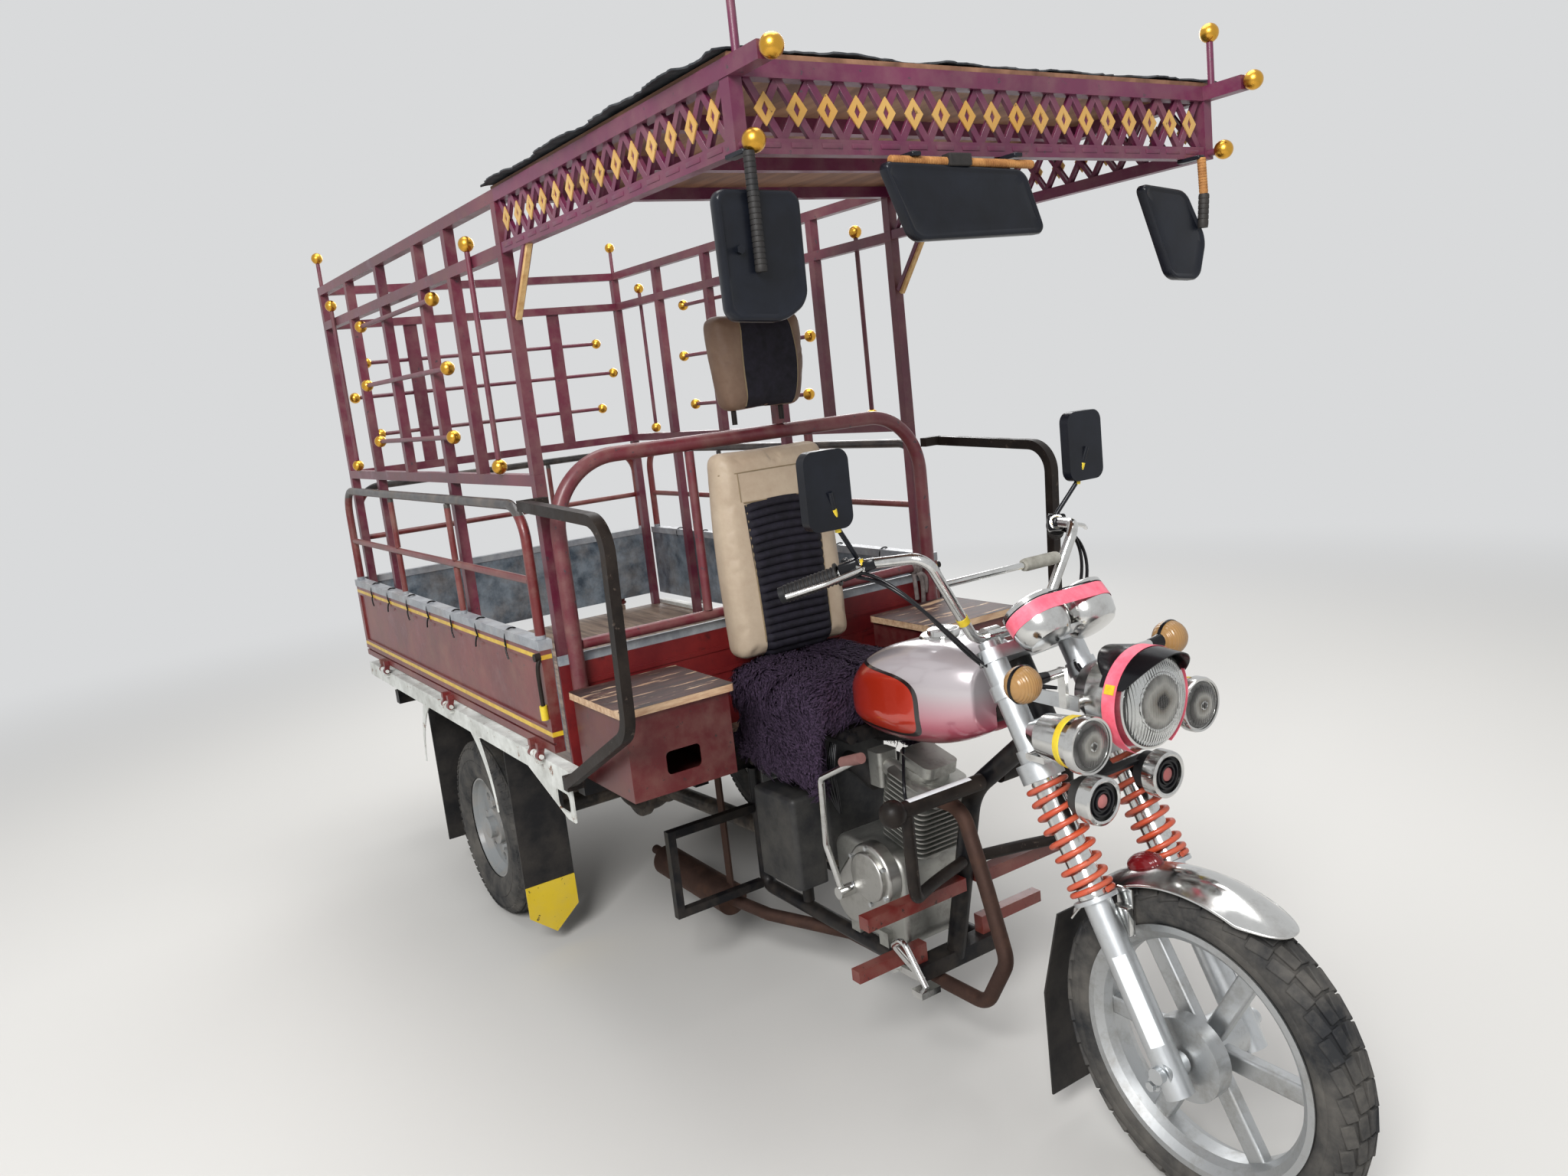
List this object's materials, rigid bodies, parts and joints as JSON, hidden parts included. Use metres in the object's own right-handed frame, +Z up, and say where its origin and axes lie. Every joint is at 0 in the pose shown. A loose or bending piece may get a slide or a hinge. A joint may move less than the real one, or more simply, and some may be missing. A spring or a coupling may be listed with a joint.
{
  "type": "cargo motor tricycle",
  "caption": "Motor tricycle with a motorcycle front end, drop-side load bed, barred cage and lattice-edged roof over the rider.",
  "frame": {"origin": "on the ground, at the middle of the length and on the centre line", "axes": "+X forward along the vehicle, +Y to the rider's left, +Z up"},
  "size_m": [3.575, 1.314, 2.2047],
  "materials": {
    "black_frame_paint": "dusty gloss",
    "black_axle_paint": "dusty",
    "spring_steel": "rusty",
    "cast_aluminium": "sand cast",
    "cover_aluminium": "satin",
    "rusty_exhaust": "heat rusted",
    "chrome_plate": "polished",
    "black_bar_paint": "gloss",
    "red_bar_paint": "worn",
    "black_plastic": "matte",
    "tank_paint": "gloss, silver fading to pink",
    "purple_fur": "shaggy",
    "beige_vinyl": "satin",
    "brown_vinyl": "satin",
    "grey_pipe_paint": "worn",
    "white_rail_paint": "dirty gloss",
    "weathered_steel": "weathered",
    "red_box_paint": "worn",
    "worn_plywood": "worn",
    "black_rubber": "dusty",
    "yellow_plate_paint": "gloss",
    "maroon_cage_paint": "gloss",
    "purple_band_paint": "gloss",
    "roof_plywood": "bare",
    "roofing_felt": "rough",
    "mirror_plastic": "gloss",
    "gold_plate": "polished",
    "fork_silver": "satin",
    "orange_spring_paint": "gloss",
    "grip_rubber": "ribbed",
    "wheel_silver": "cast, satin",
    "tyre_rubber": "dusty",
    "grey_wheel_paint": "satin",
    "maroon_gate_paint": "gloss, scuffed"
  },
  "bodies": {
    "chassis": {"chassis_rails": "black_frame_paint", "cycle_frame": "black_frame_paint", "step_frames": "black_frame_paint", "rear_axle": "black_axle_paint", "leaf_springs": "spring_steel", "engine": "cast_aluminium", "engine_covers": "cover_aluminium", "exhaust": "rusty_exhaust", "foot_levers": "chrome_plate", "crash_bars": "black_bar_paint", "footrests": "red_bar_paint", "battery_boxes": "black_plastic", "fuel_tank": "tank_paint", "seat_cushion": "purple_fur", "backrest": "beige_vinyl", "headrest": "brown_vinyl", "front_hoop": "grey_pipe_paint", "cargo_floor": "white_rail_paint", "front_wall": "weathered_steel", "tool_boxes": "red_box_paint", "tool_box_lids": "worn_plywood", "box_guards": "black_bar_paint", "mud_flaps": "black_rubber", "flap_plates": "yellow_plate_paint", "cage_posts": "maroon_cage_paint", "cage_rails": "maroon_cage_paint", "cage_uprights": "maroon_cage_paint", "cage_rods": "maroon_cage_paint", "roof_band_left": "purple_band_paint", "roof_band_right": "purple_band_paint", "roof_band_front": "purple_band_paint", "roof_bars": "purple_band_paint", "roof_board": "roof_plywood", "roof_cover": "roofing_felt", "roof_mirrors": "mirror_plastic", "gold_ornaments": "gold_plate"},
    "front_fork": {"fork": "fork_silver", "fork_springs": "orange_spring_paint", "front_mudguard": "chrome_plate", "front_flap": "black_rubber", "headlamp": "chrome_plate", "small_lamps": "chrome_plate", "horns": "black_plastic", "gauges": "chrome_plate", "handlebar": "chrome_plate", "grips": "grip_rubber", "bar_mirrors": "mirror_plastic"},
    "front_wheel": {"front_rim": "wheel_silver", "front_tyre": "tyre_rubber"},
    "rear_wheel_left": {"rear_rim_left": "grey_wheel_paint", "rear_tyre_left": "tyre_rubber"},
    "rear_wheel_right": {"rear_rim_right": "grey_wheel_paint", "rear_tyre_right": "tyre_rubber"},
    "drop_side_left": {"gate_left": "maroon_gate_paint"},
    "drop_side_right": {"gate_right": "maroon_gate_paint"},
    "tail_board": {"tailgate": "maroon_gate_paint"}
  },
  "joints": [
    {"name": "steering", "type": "hinge", "parent": "chassis", "child": "front_fork", "pos_m": [1.42694, 0, 0.28618], "axis": [-0.4695, 0, 0.8829], "range_deg": [-35, 35]},
    {"name": "front_wheel_spin", "type": "hinge", "parent": "front_fork", "child": "front_wheel", "pos_m": [1.4755, 0, 0.312], "axis": [0, 1, 0], "continuous": true},
    {"name": "rear_wheel_left_spin", "type": "hinge", "parent": "chassis", "child": "rear_wheel_left", "pos_m": [-0.8025, 0.51, 0.284], "axis": [0, 1, 0], "continuous": true},
    {"name": "rear_wheel_right_spin", "type": "hinge", "parent": "chassis", "child": "rear_wheel_right", "pos_m": [-0.8025, -0.51, 0.284], "axis": [0, 1, 0], "continuous": true},
    {"name": "drop_side_left_hinge", "type": "hinge", "parent": "chassis", "child": "drop_side_left", "pos_m": [-0.821, 0.647, 0.724], "axis": [-1, 0, 0], "range_deg": [0, 175]},
    {"name": "drop_side_right_hinge", "type": "hinge", "parent": "chassis", "child": "drop_side_right", "pos_m": [-0.821, -0.647, 0.724], "axis": [1, 0, 0], "range_deg": [0, 175]},
    {"name": "tail_board_hinge", "type": "hinge", "parent": "chassis", "child": "tail_board", "pos_m": [-1.7775, 0, 0.724], "axis": [0, -1, 0], "range_deg": [0, 170]}
  ]
}
